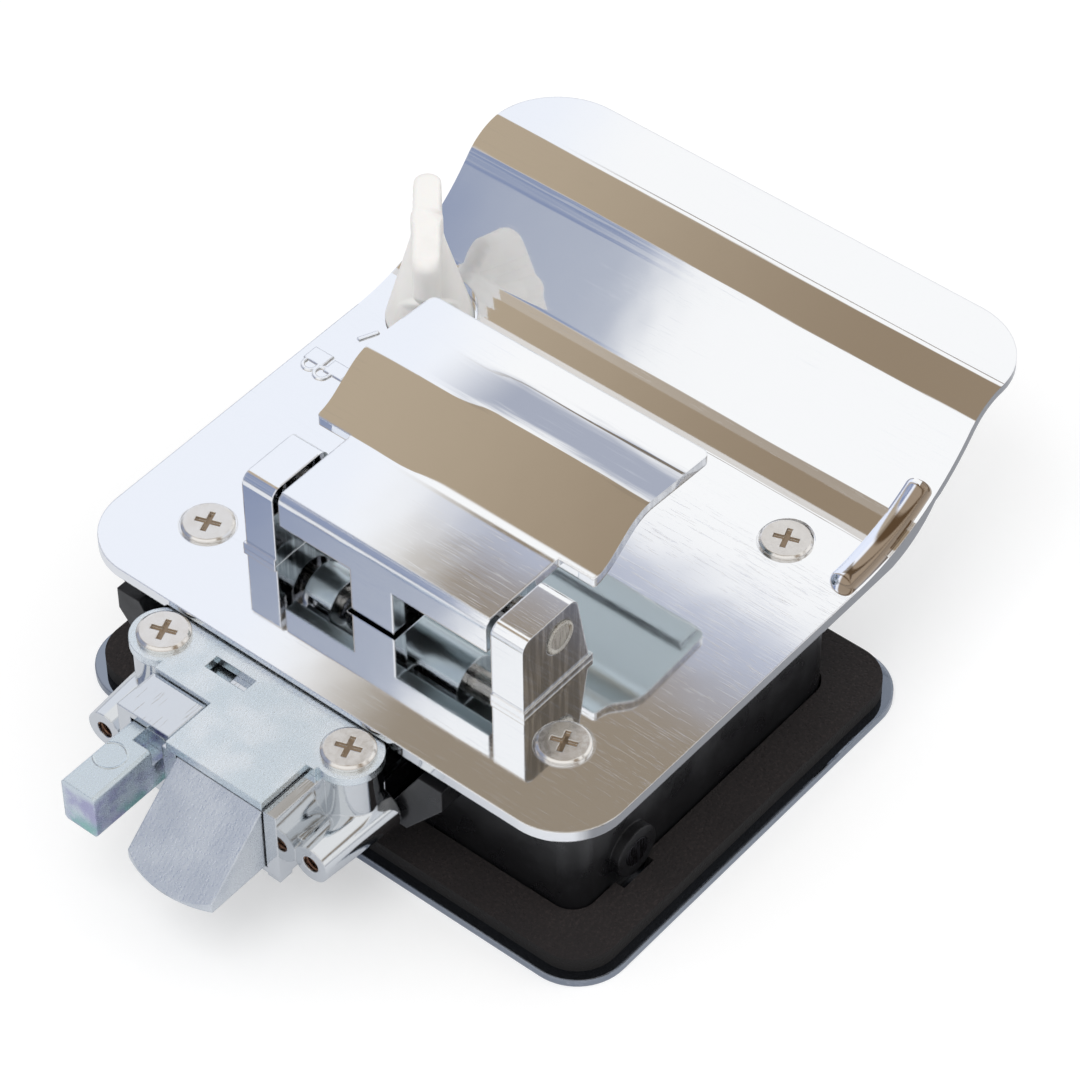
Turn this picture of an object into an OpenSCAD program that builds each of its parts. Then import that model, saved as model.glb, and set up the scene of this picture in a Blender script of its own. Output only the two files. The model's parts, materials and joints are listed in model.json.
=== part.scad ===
// Door lock for a recreational vehicle: slam latch, deadbolt, inner paddle and thumb turn,
// outer pull handle with two key cylinders.
// +Z points into the vehicle, +X from the latch edge of the door inwards, +Y up the door.
// z = 0 is the outer skin of the door, where the gasket seats.

/* [Door] */
// Thickness of the door between its two skins
door_t = 29; // [27:0.5:34]
// Width of the cut-out in the door
cut_w = 69.85; // [69.85:0.05:72]
// Height of the cut-out in the door
cut_h = 95.25; // [95.25:0.05:99]
// Clearance of the housing inside the cut-out, each side
cut_gap = 0.3; // [0.2:0.05:0.5]

/* [Outer flange] */
// How far the flange laps the cut-out
flange_lap = 10.6; // [9:0.1:14]
// Thickness of the flange
flange_t = 1.5; // [1.2:0.1:2]
// Corner radius of the flange
flange_r = 9.9; // [6:0.1:14]
// Thickness of the gasket
gasket_t = 3; // [2:0.1:4]
// Step from the edge of the flange in to the gasket
gasket_in = 2; // [1:0.1:3]
// Wall of the recessed pan behind the handle
pan_t = 1.3; // [1:0.1:1.5]

/* [Housing] */
// Wall of the housing
wall = 1.6; // [1.4:0.1:2]
// Corner radius of the housing
house_r = 4.3; // [3:0.1:6]
// Gap between the housing's top and the inner skin of the door
house_drop = 3.1; // [3:0.1:3.6]

/* [Inner plate] */
// Reach of the plate from the centre towards the door's edge
plate_x0 = 45; // [44:0.1:48]
// Half height of the plate
plate_hy = 55.65; // [54:0.05:60]
// Corner radius of the plate at the latch side
plate_r = 11.9; // [8:0.1:14]
// Height of the plate's face over the inner skin
plate_h = 2.2; // [2.2:0.1:3]
// Thickness of the plate's metal
plate_t = 1.5; // [1.2:0.1:1.5]
// Where the scoop starts to rise
scoop_x = 29.5; // [28:0.5:31]
// Radius of the scoop's hollow bend
scoop_r = 39.75; // [36:0.25:44]
// Slope that the scoop reaches
scoop_a = 48.9; // [44:0.1:50]
// Straight run between the two bends
scoop_s = 1.2; // [0.5:0.1:3]
// Radius of the scoop's outer bend
scoop_r2 = 11.4; // [9:0.1:13]
// Where the scoop's free edge ends
scoop_x1 = 83; // [78:0.5:88]
// Corner radius of the free edge
scoop_pr = 14.4; // [10:0.1:18]
// Width of the bead beside the scoop
bead_w = 4.4; // [3:0.1:5]

/* [Inner paddle] */
// Distance of the paddle's axis from the centre towards the door's edge
pad_ax = 18.3; // [18:0.1:19]
// Height of the paddle's axis over the plate's face
pad_az = 11.8; // [11.5:0.1:13]
// Half width of the paddle between the lugs
pad_hw = 22.6; // [20:0.1:22.8]
// Half width of the blade
pad_bw = 30.2; // [28:0.1:34]
// Free end of the blade
pad_x1 = 21.5; // [18:0.5:24]
// Thickness of the blade
pad_t = 2; // [1.6:0.1:2.4]
// Width of the leg that works the latch
leg_w = 9.3; // [7:0.1:10]
// Thickness of the leg
leg_t = 3; // [2.5:0.1:3.2]
// Radius of the leg's round nose
nose_r = 2.2; // [2:0.1:2.4]
// Gap between the paddle and the lugs
lug_gap = 1.1; // [0.5:0.1:1.5]
// Width of a lug
lug_w = 6.8; // [6:0.1:8]
// Diameter of the paddle's pin
pad_pin_d = 5; // [4:0.1:5.4]

/* [Latch] */
// Travel of the slam latch and of the deadbolt
travel = 14; // [12:0.5:14.5]
// How far the latch and the deadbolt stand out of the case
throw = 15; // [14.5:0.5:16]
// Front of the case, from the centre
case_x = 67.4; // [65:0.1:72]
// Depth of the latch below the inner skin of the door
latch_drop = 15; // [14.5:0.1:15.5]
// Height of the slam latch
latch_h = 13.4; // [12.8:0.1:13.6]
// Width of the slam latch
latch_w = 18.6; // [17.5:0.1:18.8]
// Radius of the latch's nose in plan
latch_pr = 21.5; // [18:0.5:30]
// Floor of the latch case
case_floor = 1.2; // [0.8:0.1:1.5]
// Thickness of the cover
cover_t = 1.8; // [1.2:0.1:2]
// Width of the deadbolt
bolt_w = 7.3; // [6:0.1:7.6]
// Height of the deadbolt
bolt_h = 9.5; // [8:0.1:10]
// Diameter of the heads of the cover and plate screws
head_d = 9.4; // [8:0.1:10]
// Distance between the two threaded bosses in the door's edge
boss_span = 46.2; // [45.5:0.1:48]
// Diameter of their tapped holes
boss_tap = 3.3; // [3:0.1:3.6]
// Thickness of the retractor
retract_t = 3; // [2.5:0.1:3]

/* [Deadbolt drive] */
// Distance of the knob's axis from the centre, across the door
knob_x = 35.2; // [34:0.1:36]
// Distance of the knob's axis from the centre, up the door
knob_y = 43.6; // [43:0.1:44.5]
// Radius of the cranks that move the link
crank_r = 11.9; // [11:0.1:12.5]
// Thickness of the link
link_t = 1.5; // [1:0.1:1.6]
// Diameter of the crank pins
crank_pin_d = 3.5; // [3:0.1:4]

/* [Knob] */
// Diameter of the knob's base
knob_d = 16; // [14:0.1:16.4]
// Height of the knob
knob_h = 24; // [20:0.1:26]
// Length of the knob's grip
grip_l = 25.4; // [22:0.1:28]
// Thickness of the grip
grip_t = 5.4; // [4:0.1:6.5]

/* [Outer handle] */
// Distance of the handle's axis from the centre, towards the door's edge
han_ax = 21; // [20.5:0.1:21.5]
// Height of the handle's axis over the outer skin of the door
han_az = 5.5; // [5:0.1:6]
// Diameter of the handle's pin
han_pin_d = 5.5; // [5:0.1:6]
// Free edge of the handle
han_x1 = 18; // [14:0.5:20]
// Thickness of the handle's grip
han_t = 3; // [2:0.1:3.4]
// Diameter of the pin that works the latch
han_nose_d = 3.6; // [3:0.1:4]

/* [Key cylinders] */
// Diameter of a cylinder's body
cyl_d = 17; // [16:0.1:18]
// Diameter of a cylinder's plug
plug_d = 12.9; // [11:0.1:13.5]
// Width of the nut across its flats
nut_af = 21; // [19.5:0.1:21.4]

/* [Hidden] */
$fn = 64;

fit = 0.05;            // running and thread clearance on the radius
gap = 0.3;             // clearance between pieces that do not bear on each other
free = 0.45;           // clearance of a follower in its slot, each side
hole = 0.35;           // clearance of a screw's shank in a through hole, on the radius
e = 0.01;              // overlap of pieces of one solid

// Outer side
fl_z0 = -gasket_t - flange_t;
hx = cut_w / 2 - cut_gap;
hy = cut_h / 2 - cut_gap;
room = wall + gap;
fx = cut_w / 2 + flange_lap;
fy = cut_h / 2 + flange_lap;
gx = fx - gasket_in;
gy = fy - gasket_in;
gr = max(flange_r - gasket_in, 1);

// Levels at the inner side
skin = door_t;
face = skin + plate_h;
under = face - plate_t;
seat_z = face - 0.1;
house_z1 = skin - house_drop;
lz0 = skin - latch_drop;
lz1 = lz0 + latch_h;
case_z0 = lz0 - gap - case_floor;
cover_z0 = lz1 + gap;
cover_z1 = cover_z0 + cover_t;
link_z0 = house_z1 + 0.5;
link_z1 = link_z0 + link_t;
arm_z0 = link_z1 + gap;
arm_z1 = min(arm_z0 + 1.2, under - gap);

// Latch and deadbolt across the door's height
lat_y = 0.7;
chan_y0 = lat_y - latch_w / 2 - gap;
chan_y1 = lat_y + latch_w / 2 + gap;
bolt_y = 18.25;
bolt_z0 = lz0 + 3.2;
bolt_z1 = bolt_z0 + bolt_h;
tip_x = -(case_x + throw);
boss_y0 = -15;
boss_y1 = boss_y0 + boss_span;
boss_z = lz0 + 1.5;
ear_x = case_x - 17.4;
ear_y0 = -12.1;
ear_y1 = 28.9;
ear_r = head_d / 2 + 1.3;
ear_w = sqrt(max(0, pow(ear_r, 2) - pow(max(0, ear_x - plate_x0), 2)));
case_x1 = hx + 0.6;
spring_x0 = -case_x + 4.8;
spring_x1 = -case_x1 - 3.6;

// Paddle
paz = face + pad_az;
leg_y0 = -2.3;
leg_y1 = leg_y0 + leg_w;
pin_r = pad_pin_d / 2;
bar_x = -pad_ax - 9.1;
bar_z0 = paz - 1.6;
bar_z1 = paz + 5.5;
nose_x = bar_x + leg_t / 2;
nose_z = lz0 + retract_t;
ret_z1 = lz0 + retract_t;
lug_y0 = pad_hw + lug_gap;
lug_y1 = lug_y0 + lug_w;
lug_z1 = bar_z1;
blade_z = bar_z1;

// Outer handle
han_r = han_az - fl_z0 - 0.3;
boss_out = 1.9;        // how far the pin's boss stands out of the housing
pan_z1 = lz0 - 0.8;
pan_z = pan_z1 - pan_t;
pan_x0 = -han_ax - han_r - 0.6;
pan_x1 = hx - wall - pan_t - 2.2;
pan_y0 = -hy + wall + pan_t + 0.6;
pan_y1 = 4.6;
han_y0 = pan_y0 + 0.5;
han_y1 = pan_y1 - 0.5;
tail_x = -travel / 2;
tail_z = skin - 4.2 - han_az;
tail_y0 = -14.5;
ear0_y0 = lat_y - latch_w / 2;
ear0_t = 2.5;
tail_y1 = ear0_y0 - 0.5;

// Key cylinders
dc = [-9, hy - wall - 10.7];
hc = [10, 17.5];
cyl_z1 = 11.5;
floor_z0 = 1;
floor_z1 = floor_z0 + wall;
crank_in = asin(travel / 2 / crank_r);
dcam_z0 = link_z0 - 6;
hcam_z0 = pan_z1 + 0.8;

// Screws of the plate
screw_xy = [[-27.8, 39.2], [-27.8, -39.2], [hx - 3.3, -39.2]];
screw_r = 2.4;
fr_xy = [[25, 37], [-27, 16]];

// Box between two corners
module box(x0, x1, y0, y1, z0, z1) {
  translate([x0, y0, z0]) cube([x1 - x0, y1 - y0, z1 - z0]);
}

// Cylinders along each axis
module zc(x, y, z0, z1, r) {
  translate([x, y, z0]) cylinder(h = z1 - z0, r = r);
}

module yc(x, z, y0, y1, r) {
  translate([x, y1, z]) rotate([90, 0, 0]) cylinder(h = y1 - y0, r = r);
}

module xc(y, z, x0, x1, r, r2 = 0) {
  translate([x0, y, z]) rotate([0, 90, 0]) cylinder(h = x1 - x0, r1 = r, r2 = r2 > 0 ? r2 : r);
}

// Extrusion along Y of an outline drawn in X and Z
module along_y(y0, y1) {
  translate([0, y1, 0]) rotate([90, 0, 0]) linear_extrude(y1 - y0) children();
}

// Extrusion along X of an outline drawn in Y and Z
module along_x(x0, x1) {
  translate([x0, 0, 0]) rotate([90, 0, 90]) linear_extrude(x1 - x0) children();
}

// Rounded rectangle with one radius at its left and one at its right corners
module plan(x0, x1, h, rl, rr) {
  translate([x0 + rl, -h]) square([x1 - x0 - rl - rr, 2 * h]);
  translate([x0, rl - h]) square([rl + e, 2 * (h - rl)]);
  translate([x1 - rr - e, rr - h]) square([rr + e, 2 * (h - rr)]);
  for (s = [-1, 1]) {
    translate([x0 + rl, s * (h - rl)]) circle(r = rl);
    translate([x1 - rr, s * (h - rr)]) circle(r = rr);
  }
}

// Area under a line that runs level, sweeps up through a hollow bend, then an outer bend, and
// falls off by b degrees; off moves the line square to itself
module under_s(xl, x0, z0, r1, a, s, r2, xe, b, off, zl) {
  d = [sin(a), -cos(a)];
  t = [cos(a), sin(a)];
  c1 = [x0, z0 + r1];
  p1 = c1 + (r1 + off) * d;
  p2 = p1 + s * t;
  c2 = c1 + (r1 + r2) * d + s * t;
  p3 = c2 + (r2 - off) * [sin(b), cos(b)];
  difference() {
    polygon([[xl, zl], [xl, z0 - off], [x0, z0 - off], p1, p2, c2, [c2[0], zl]]);
    translate(c1) circle(r = r1 + off, $fn = 180);
  }
  translate(c2) circle(r = r2 - off, $fn = 96);
  polygon([[c2[0] - e, zl], [c2[0] - e, c2[1]], p3,
    [xe, p3[1] - (xe - p3[0]) * tan(b)], [xe, zl]]);
}

// Cross recess of a screw whose head's top is at z
module cross_cut(x, y, z, w) {
  for (a = [20, 110]) translate([x, y, z - 0.7]) rotate([0, 0, a]) {
    translate([-w / 2, -w / 9, 0]) cube([w, w / 4.5, 1]);
  }
}

// Flat-head screw: head on z, shank down to z0
module screw(x, y, z, z0, r, hr, hh) {
  difference() {
    union() {
      zc(x, y, z, z + hh * 0.6, hr);
      translate([x, y, z + hh * 0.6 - e]) cylinder(h = hh * 0.4 + e, r1 = hr, r2 = hr - hh * 0.5);
      zc(x, y, z0, z + e, r);
    }
    cross_cut(x, y, z + hh, hr);
  }
}

// Six-sided wire along a list of points; ax is a direction that the wire never takes
function unit(v) = v / norm(v);
function dir_at(p, i) = unit(p[min(i + 1, len(p) - 1)] - p[max(i - 1, 0)]);
module wire(p, r, ax) {
  n = len(p);
  pts = [for (i = [0:n - 1])
    let (t = dir_at(p, i), u = unit(cross(t, ax)), w = cross(t, u))
    for (k = [0:5]) p[i] + r * (cos(60 * k) * u + sin(60 * k) * w)];
  sides = [for (i = [0:n - 2]) for (k = [0:5])
    let (a = i * 6 + k, b = i * 6 + (k + 1) % 6)
    each [[a, b + 6, b], [a, a + 6, b + 6]]];
  caps = [for (k = [1:4]) each [[0, k, k + 1], [(n - 1) * 6, (n - 1) * 6 + k + 1, (n - 1) * 6 + k]]];
  polyhedron(pts, concat(sides, caps));
}

// Points of a coil along X, eight to a curl
function coil(x0, x1, r, curls) = [for (i = [0:8 * curls])
  [x0 + (x1 - x0) * i / (8 * curls), r * cos(45 * i), r * sin(45 * i)]];
function coil_gap(x0, x1, curls, r) = (x1 - x0) / curls - 2 * r;

// Points of the scoop's line, off below the face
function scoop_pts(off) =
  let (d = [sin(scoop_a), -cos(scoop_a)],
    c1 = [scoop_x, face + scoop_r],
    c2 = c1 + (scoop_r + scoop_r2) * d + scoop_s * [cos(scoop_a), sin(scoop_a)])
  concat(
    [for (i = [0:16]) c1 + (scoop_r + off) * [sin(scoop_a * i / 16), -cos(scoop_a * i / 16)]],
    [for (i = [0:8]) let (a = scoop_a - (scoop_a + 2.5) * i / 8)
      c2 + (scoop_r2 - off) * [-sin(a), cos(a)]]);

// Area under that line, and the band between it and the plate's rim
function scoop_end(p, x) = [x, p[1] - (x - p[0]) * tan(2.5)];
function flip(p) = [for (i = [len(p) - 1:-1:0]) p[i]];
module plate_solid(off, inset, zl) {
  p = scoop_pts(off);
  q = concat([[-60, zl], [-60, face - off]], p, [scoop_end(p[len(p) - 1], 100), [100, zl]]);
  intersection() {
    along_y(-90, 90) polygon(q);
    linear_extrude(90) plan(-plate_x0 + inset, scoop_x1 - inset, plate_hy - inset,
      plate_r - inset, scoop_pr - inset);
  }
}

module plate_outer() {
  k = [scoop_x + 7, skin + 18.27];
  rk = 18.5;
  p = scoop_pts(0);
  b = scoop_pts(plate_t + 0.15);
  low = concat([[-60, skin], [k[0] + 2.9, skin]],
    [for (a = [16:6:52]) k + rk * [sin(a), -cos(a)]],
    [for (v = b) if (v[0] > k[0] + 14.9) v], [scoop_end(b[len(b) - 1], 100)]);
  q = concat([[-60, face]], p, [scoop_end(p[len(p) - 1], 100)], flip(low));
  intersection() {
    along_y(-90, 90) polygon(q);
    linear_extrude(90) plan(-plate_x0, scoop_x1, plate_hy, plate_r, scoop_pr);
  }
}

module lug() {
  x0 = bar_x - 0.2;
  x1 = -pad_ax + 4.8;
  r = 2.2;
  along_y(lug_y0, lug_y1) union() {
    polygon([[x0, face - 1], [x0, lug_z1 - r], [x0 + r, lug_z1], [x1 - r, lug_z1], [x1, lug_z1 - r],
      [x1 + 2.9, face], [x1 + 2.9, face - 1]]);
    translate([x0 + r, lug_z1 - r]) circle(r = r);
    translate([x1 - r, lug_z1 - r]) circle(r = r);
  }
  box(x0 - 0.4, x1 + 3.3, lug_y0, lug_y1 + 0.4, face - 1, face + 1.3);
}

// Raised padlock sign; swing moves the shackle aside
module sign(x, y, a, swing) {
  translate([x, y, face - 0.3]) rotate([0, 0, a]) {
    translate([-2.1, -2.6, 0]) cube([4.2, 3.2, 0.55]);
    translate([swing, 0, 0]) difference() {
      union() {
        translate([0, 1.2, 0]) cylinder(h = 0.55, r = 1.7);
        translate([-1.7, 0.4, 0]) cube([3.4, 0.8, 0.55]);
      }
      translate([0, 1.2, -1]) cylinder(h = 3, r = 1.1);
      translate([-1.1, 0.6, -1]) cube([2.2, 0.6, 3]);
    }
  }
}

module outer_flange() {
  ox = -han_ax - sqrt(pow(han_r, 2) - pow(han_az + gasket_t, 2)) - 0.9;
  color("#c3c8ce") difference() {
    union() {
      difference() {
        translate([0, 0, fl_z0]) linear_extrude(flange_t) plan(-fx, fx, fy, flange_r, flange_r);
        box(ox, pan_x1, pan_y0, pan_y1, fl_z0 - 1, 1 - gasket_t);
      }
      difference() {
        intersection() {
          box(pan_x0 - pan_t, pan_x1 + pan_t, pan_y0 - pan_t, pan_y1 + pan_t, -gasket_t - e, pan_z1);
          translate([0, 0, -gasket_t - 1]) linear_extrude(skin) plan(room - hx, hx - room, hy - room,
            house_r - room, house_r - room);
        }
        box(pan_x0, pan_x1, pan_y0, pan_y1, -gasket_t - 1, pan_z);
      }
      for (c = [dc, hc]) zc(c[0], c[1], -gasket_t - e, 2 - gasket_t, cyl_d / 2 + 2);
      for (p = fr_xy) zc(p[0], p[1], -gasket_t - e, floor_z0 - gap, 3.6);
    }
    for (c = [dc, hc]) {
      zc(c[0], c[1], fl_z0 - 1, 5, cyl_d / 2 + 0.1);
      zc(c[0], c[1], fl_z0 - 1, -gasket_t, cyl_d / 2 + 1.6);
    }
    for (p = fr_xy) zc(p[0], p[1], 0.4 - gasket_t, 5, 1.45 + fit);
    yc(-han_ax, han_az, pan_y0 - pan_t - 1, pan_y1 + pan_t + 1, han_pin_d / 2 + fit);
    box(-han_ax - 6.1, -han_ax + 6.1, tail_y0 - 0.5, tail_y1 + 0.3, pan_z - 1, pan_z1 + 1);
    box(hc[0] - 7.1, hc[0] + 4.4, -2.3, 4.2, pan_z - 1, pan_z1 + 1);
  }
}

module gasket() {
  color("#2c2725") difference() {
    translate([0, 0, -gasket_t]) linear_extrude(gasket_t) plan(-gx, gx, gy, gr, gr);
    translate([0, 0, -gasket_t - 1]) linear_extrude(gasket_t + 2)
      plan(-hx - 0.4, hx + 0.4, hy + 0.4, house_r + 0.4, house_r + 0.4);
    box(-han_ax - han_pin_d / 2 - 1.2, -han_ax + han_pin_d / 2 + 1.2, -hy - boss_out - 0.5, -hy,
      -gasket_t - 1, 1);
  }
}

module housing() {
  hz = house_z1 + gasket_t;
  strut = [[-16.4, 12], [-16.4, 15.5], [-23, house_z1 + 0.8], [-28, house_z1 + 0.8], [-28, 22], [-20, 12]];
  color("#1b1c1f") difference() {
    union() {
      difference() {
        translate([0, 0, -gasket_t]) linear_extrude(hz) plan(-hx, hx, hy, house_r, house_r);
        translate([0, 0, -gasket_t - 1]) linear_extrude(hz + 2)
          plan(wall - hx, hx - wall, hy - wall, house_r - wall, house_r - wall);
      }
      intersection() {
        translate([0, 0, -gasket_t]) linear_extrude(hz) plan(-hx, hx, hy, house_r, house_r);
        union() {
          box(-hx, hx, pan_y1 + pan_t + 0.9, hy, floor_z0, floor_z1);
          for (p = screw_xy) box(
            p[0] < 0 ? -hx : p[0] - 4.4, p[0] < 0 ? p[0] + 4.4 : hx,
            p[1] < 0 ? -hy : p[1] - 4.4, p[1] < 0 ? p[1] + 4.4 : hy, pan_z1 + gap, house_z1);
        }
      }
      yc(-han_ax, han_az, -hy - boss_out, -hy + wall, han_pin_d / 2 + 2.2);
      along_x(-plate_x0 - 0.5, -hx + e) polygon(strut);
      along_x(-plate_x0 - 0.5, -hx + e) polygon([for (p = strut) [boss_y0 + boss_y1 - p[0], p[1]]]);
    }
    for (p = screw_xy) zc(p[0], p[1], pan_z1, house_z1 + 1, screw_r + fit);
    for (p = fr_xy) zc(p[0], p[1], 0, 4, 1.45 + hole);
    for (c = [dc, hc]) zc(c[0], c[1], 0, 4, cyl_d / 2 + gap);
    yc(-han_ax, han_az, -hy - 3, 1 - hy + wall, han_pin_d / 2 + fit);
    box(-han_ax - 5.5, -han_ax + 5.5, pan_y1, pan_y1 + pan_t + 2.4, 0, 4);
    box(-hx - 1, 1 - hx + wall, chan_y0 - 1, bolt_y + bolt_w / 2 + 1, lz0 - 0.4, house_z1 + 1);
    for (y = [-13.5, 27.5]) xc(y, lz0 + 3.5, -hx - 1, 1 - hx + wall, 1.45 + hole);
  }
}

module frame_screws() {
  color("#b9b2a6") for (p = fr_xy) screw(p[0], p[1], floor_z1, 0.8 - gasket_t, 1.45, 3.2, 1.6);
}

module inner_plate() {
  by = 1.0 - plate_hy + bead_w / 2;
  q = [for (v = scoop_pts(0.6)) if (v[0] < scoop_x + 22) v];
  color("#d5d9df") difference() {
    union() {
      difference() {
        plate_outer();
        plate_solid(plate_t, plate_t, 0);
      }
      intersection() {
        zc(knob_x, knob_y, under, 60, knob_d / 2 + 1.8);
        plate_solid(0.7, 0.7, 0);
      }
      intersection() {
        box(scoop_x + 16, scoop_x + 17.5, 5 - plate_hy, plate_hy - 5, skin, 60);
        plate_solid(0.7, 0.7, 0);
      }
      lug();
      mirror([0, 1, 0]) lug();
      for (k = [[0.5, 0.2], [0.38, 0.36], [0.18, 0.5]])
        along_y(by - k[0] * bead_w, by + k[0] * bead_w) polygon(concat(
          [for (v = scoop_pts(-k[1] * bead_w)) if (v[0] < scoop_x + 21) v], flip(q)));
      sign(13.8, 51.9, 90, 0);
      sign(13.3, 46.9, 90, 1.9);
      translate([24.4, 48.7, face - 0.3]) rotate([0, 0, -24]) translate([-2, -0.4, 0])
        cube([4, 0.8, 0.55]);
    }
    box(bar_x - 0.5, bar_x + 12.4, leg_y0 - 0.6, leg_y1 + 0.6, under - 1, face + 1);
    along_x(-plate_x0 - 1, -plate_x0 + plate_t + e) polygon([[ear_y0 - ear_w - 1.8, skin - 0.5],
      [ear_y0 - ear_w - 0.5, skin + 0.9], [-8.9, skin + 1], [24.8, skin + 1],
      [ear_y1 + ear_w + 0.5, skin + 0.9], [ear_y1 + ear_w + 1.8, skin - 0.5]]);
    for (p = screw_xy) {
      zc(p[0], p[1], under - 1, face + 5, screw_r + hole);
      zc(p[0], p[1], seat_z, face + 5, head_d / 2 + gap);
    }
    zc(knob_x, knob_y, under - 1, 60, 3.4 + fit);
    zc(knob_x, knob_y, face + 0.25, 60, knob_d / 2 + 0.6);
    yc(-pad_ax, paz, -lug_y1 - 1, lug_y1 + 1, pin_r + fit);
    yc(-pad_ax, paz, -lug_y1 - 1, 1.5 - lug_y1, 3.2 + fit);
  }
}

module plate_screws() {
  color("#cfc6bb") for (p = screw_xy) screw(p[0], p[1], seat_z, pan_z1 + 1.3, screw_r, head_d / 2, 0.9);
}

module latch_case() {
  cy0 = chan_y0 - 2.7;
  cy1 = bolt_y + bolt_w / 2 + gap + 2.9;
  zr = link_z0 - 0.4;
  by0 = bolt_y - bolt_w / 2 - 1.2;
  color("#c9ced4") difference() {
    union() {
      box(-case_x, -plate_x0 + plate_t, cy0, by0, case_z0, cover_z0);
      box(-case_x + 1.8, -plate_x0 + plate_t, by0 - e, cy1, case_z0, cover_z0);
      box(-plate_x0 + plate_t - e, -case_x1, cy0, cy1, case_z0, zr);
      box(-case_x + 1.8, -ear_x - 6.7, by0, cy1, cover_z0 - e, cover_z0 + 0.6);
      box(-46, -case_x1, -16, cy0 + e, case_z0 + 0.5, lz0 + 7);
      box(-46, -case_x1, cy1 - e, 31, case_z0 + 0.5, lz0 + 7);
      box(0.1 - case_x, 3 - case_x, cy0, cy0 + 2.7, case_z0 - 0.7, case_z0 + e);
      for (y = [ear_y0, ear_y1]) zc(-ear_x, y, case_z0, cover_z0, ear_r - 0.5);
      for (y = [boss_y0, boss_y1]) xc(y, boss_z, 3.9 - case_x, 20.9 - case_x, 3.6, 4.8);
      box(5.4 - case_x, 20.9 - case_x, boss_y0, cy0 + e, boss_z - 2.5, boss_z + 2.5);
      box(5.4 - case_x, 20.9 - case_x, cy1 - e, boss_y1, boss_z - 2.5, boss_z + 2.5);
    }
    box(-case_x - 1, spring_x1, chan_y0, chan_y1, lz0 - gap, cover_z0 + 1);
    box(-case_x - 1, 0, chan_y0, chan_y1, lz0 - gap, ret_z1 + gap);
    box(-case_x - 1, 0, bolt_y - bolt_w / 2 - gap, bolt_y + bolt_w / 2 + gap, bolt_z0 - gap,
      bolt_z1 + gap);
    box(-ear_x - 6.7, 0, bolt_y - bolt_w / 2 - gap, bolt_y + bolt_w / 2 + gap, bolt_z0, cover_z0 + 1);
    for (y = [boss_y0, boss_y1]) xc(y, boss_z, 2.9 - case_x, 15.4 - case_x, boss_tap / 2);
    for (y = [ear_y0, ear_y1]) zc(-ear_x, y, case_z0 + 2, cover_z0 + 1, 1.6 + fit);
    for (y = [-13.5, 27.5]) xc(y, lz0 + 3.5, -44, 1 - case_x1, 1.45 + fit);
  }
}

module case_screws() {
  x0 = -hx + wall;
  color("#8f9296") for (y = [-13.5, 27.5]) {
    xc(y, lz0 + 3.5, -43.5, x0 + e, 1.45);
    difference() {
      xc(y, lz0 + 3.5, x0, x0 + 2.3, 2.8);
      for (a = [0, 90]) translate([x0 + 1.6, y, lz0 + 3.5]) rotate([a, 0, 0])
        translate([0, -1.7, -0.35]) cube([2, 3.4, 0.7]);
    }
  }
}

module latch_cover() {
  x1 = -plate_x0 + plate_t;
  y1 = bolt_y - bolt_w / 2 - 2.2;
  color("#cfd9de") difference() {
    translate([0, 0, cover_z0]) linear_extrude(cover_t) difference() {
      union() {
        translate([-case_x, -8.6]) square([case_x + x1, 8.6 + y1]);
        translate([-ear_x - 6.5, -10.4]) square([ear_x + 6.5 + x1, 35.4]);
        for (y = [ear_y0, ear_y1]) translate([-ear_x, y]) circle(r = ear_r);
        translate([-ear_x, -13]) square([ear_x + x1, 43]);
      }
      translate([-ear_x - 1.1, 9.9]) square([3, 8.8]);
    }
    for (y = [ear_y0, ear_y1]) zc(-ear_x, y, cover_z0 - 1, cover_z1 + 1, 1.6 + hole);
  }
}

module cover_screws() {
  color("#cfc6bb") for (y = [ear_y0, ear_y1])
    screw(-ear_x, y, cover_z1, case_z0 + 3, 1.6, head_d / 2, 1.1);
}

module paddle_pin() {
  color("#a9a294") {
    yc(-pad_ax, paz, 1.4 - lug_y1 - e, lug_y1 - 0.3, pin_r);
    yc(-pad_ax, paz, -lug_y1 - 0.2, 1.4 - lug_y1, 3.2);
  }
}

module paddle_spring() {
  y0 = leg_y1 + 1.7;
  color("#8f9296") translate([-pad_ax, y0, paz]) rotate([0, 0, 90])
    wire(coil(0, 6.2, pin_r + 0.85, 4), 0.45, [1, 0, 0]);
  echo(paddle_spring_gap = coil_gap(0, 6.2, 4, 0.45));
}

module handle_pin() {
  color("#2e2f33") yc(-han_ax, han_az, -hy - boss_out - 0.1, pan_y1 + pan_t + 1.4, han_pin_d / 2);
}

module handle_pin_clip() {
  y0 = pan_y1 + pan_t + gap;
  color("#8f9296") difference() {
    yc(-han_ax, han_az, y0, y0 + 0.8, han_pin_d / 2 + 1.6);
    yc(-han_ax, han_az, y0 - 1, y0 + 2, han_pin_d / 2 + fit);
    box(-han_ax - 1.5, -han_ax + 1.5, y0 - 1, y0 + 2, han_az + 1, han_az + 9);
  }
}

module handle_spring() {
  color("#8f9296") translate([-han_ax, han_y0 + 11.3, han_az]) rotate([0, 0, 90])
    wire(coil(0, 13, han_pin_d / 2 + 1.3, 7), 0.55, [1, 0, 0]);
  echo(handle_spring_gap = coil_gap(0, 13, 7, 0.55));
}

module latch_spring() {
  color("#8f9296") translate([0, lat_y, lz0 + 8.2])
    wire(coil(spring_x0 + 0.7, spring_x1 - 0.7, 3.3, 8), 0.45, [1, 0, 0]);
  echo(latch_spring_gap = coil_gap(spring_x0 + 0.7, spring_x1 - 0.7, 8, 0.45));
}

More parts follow.
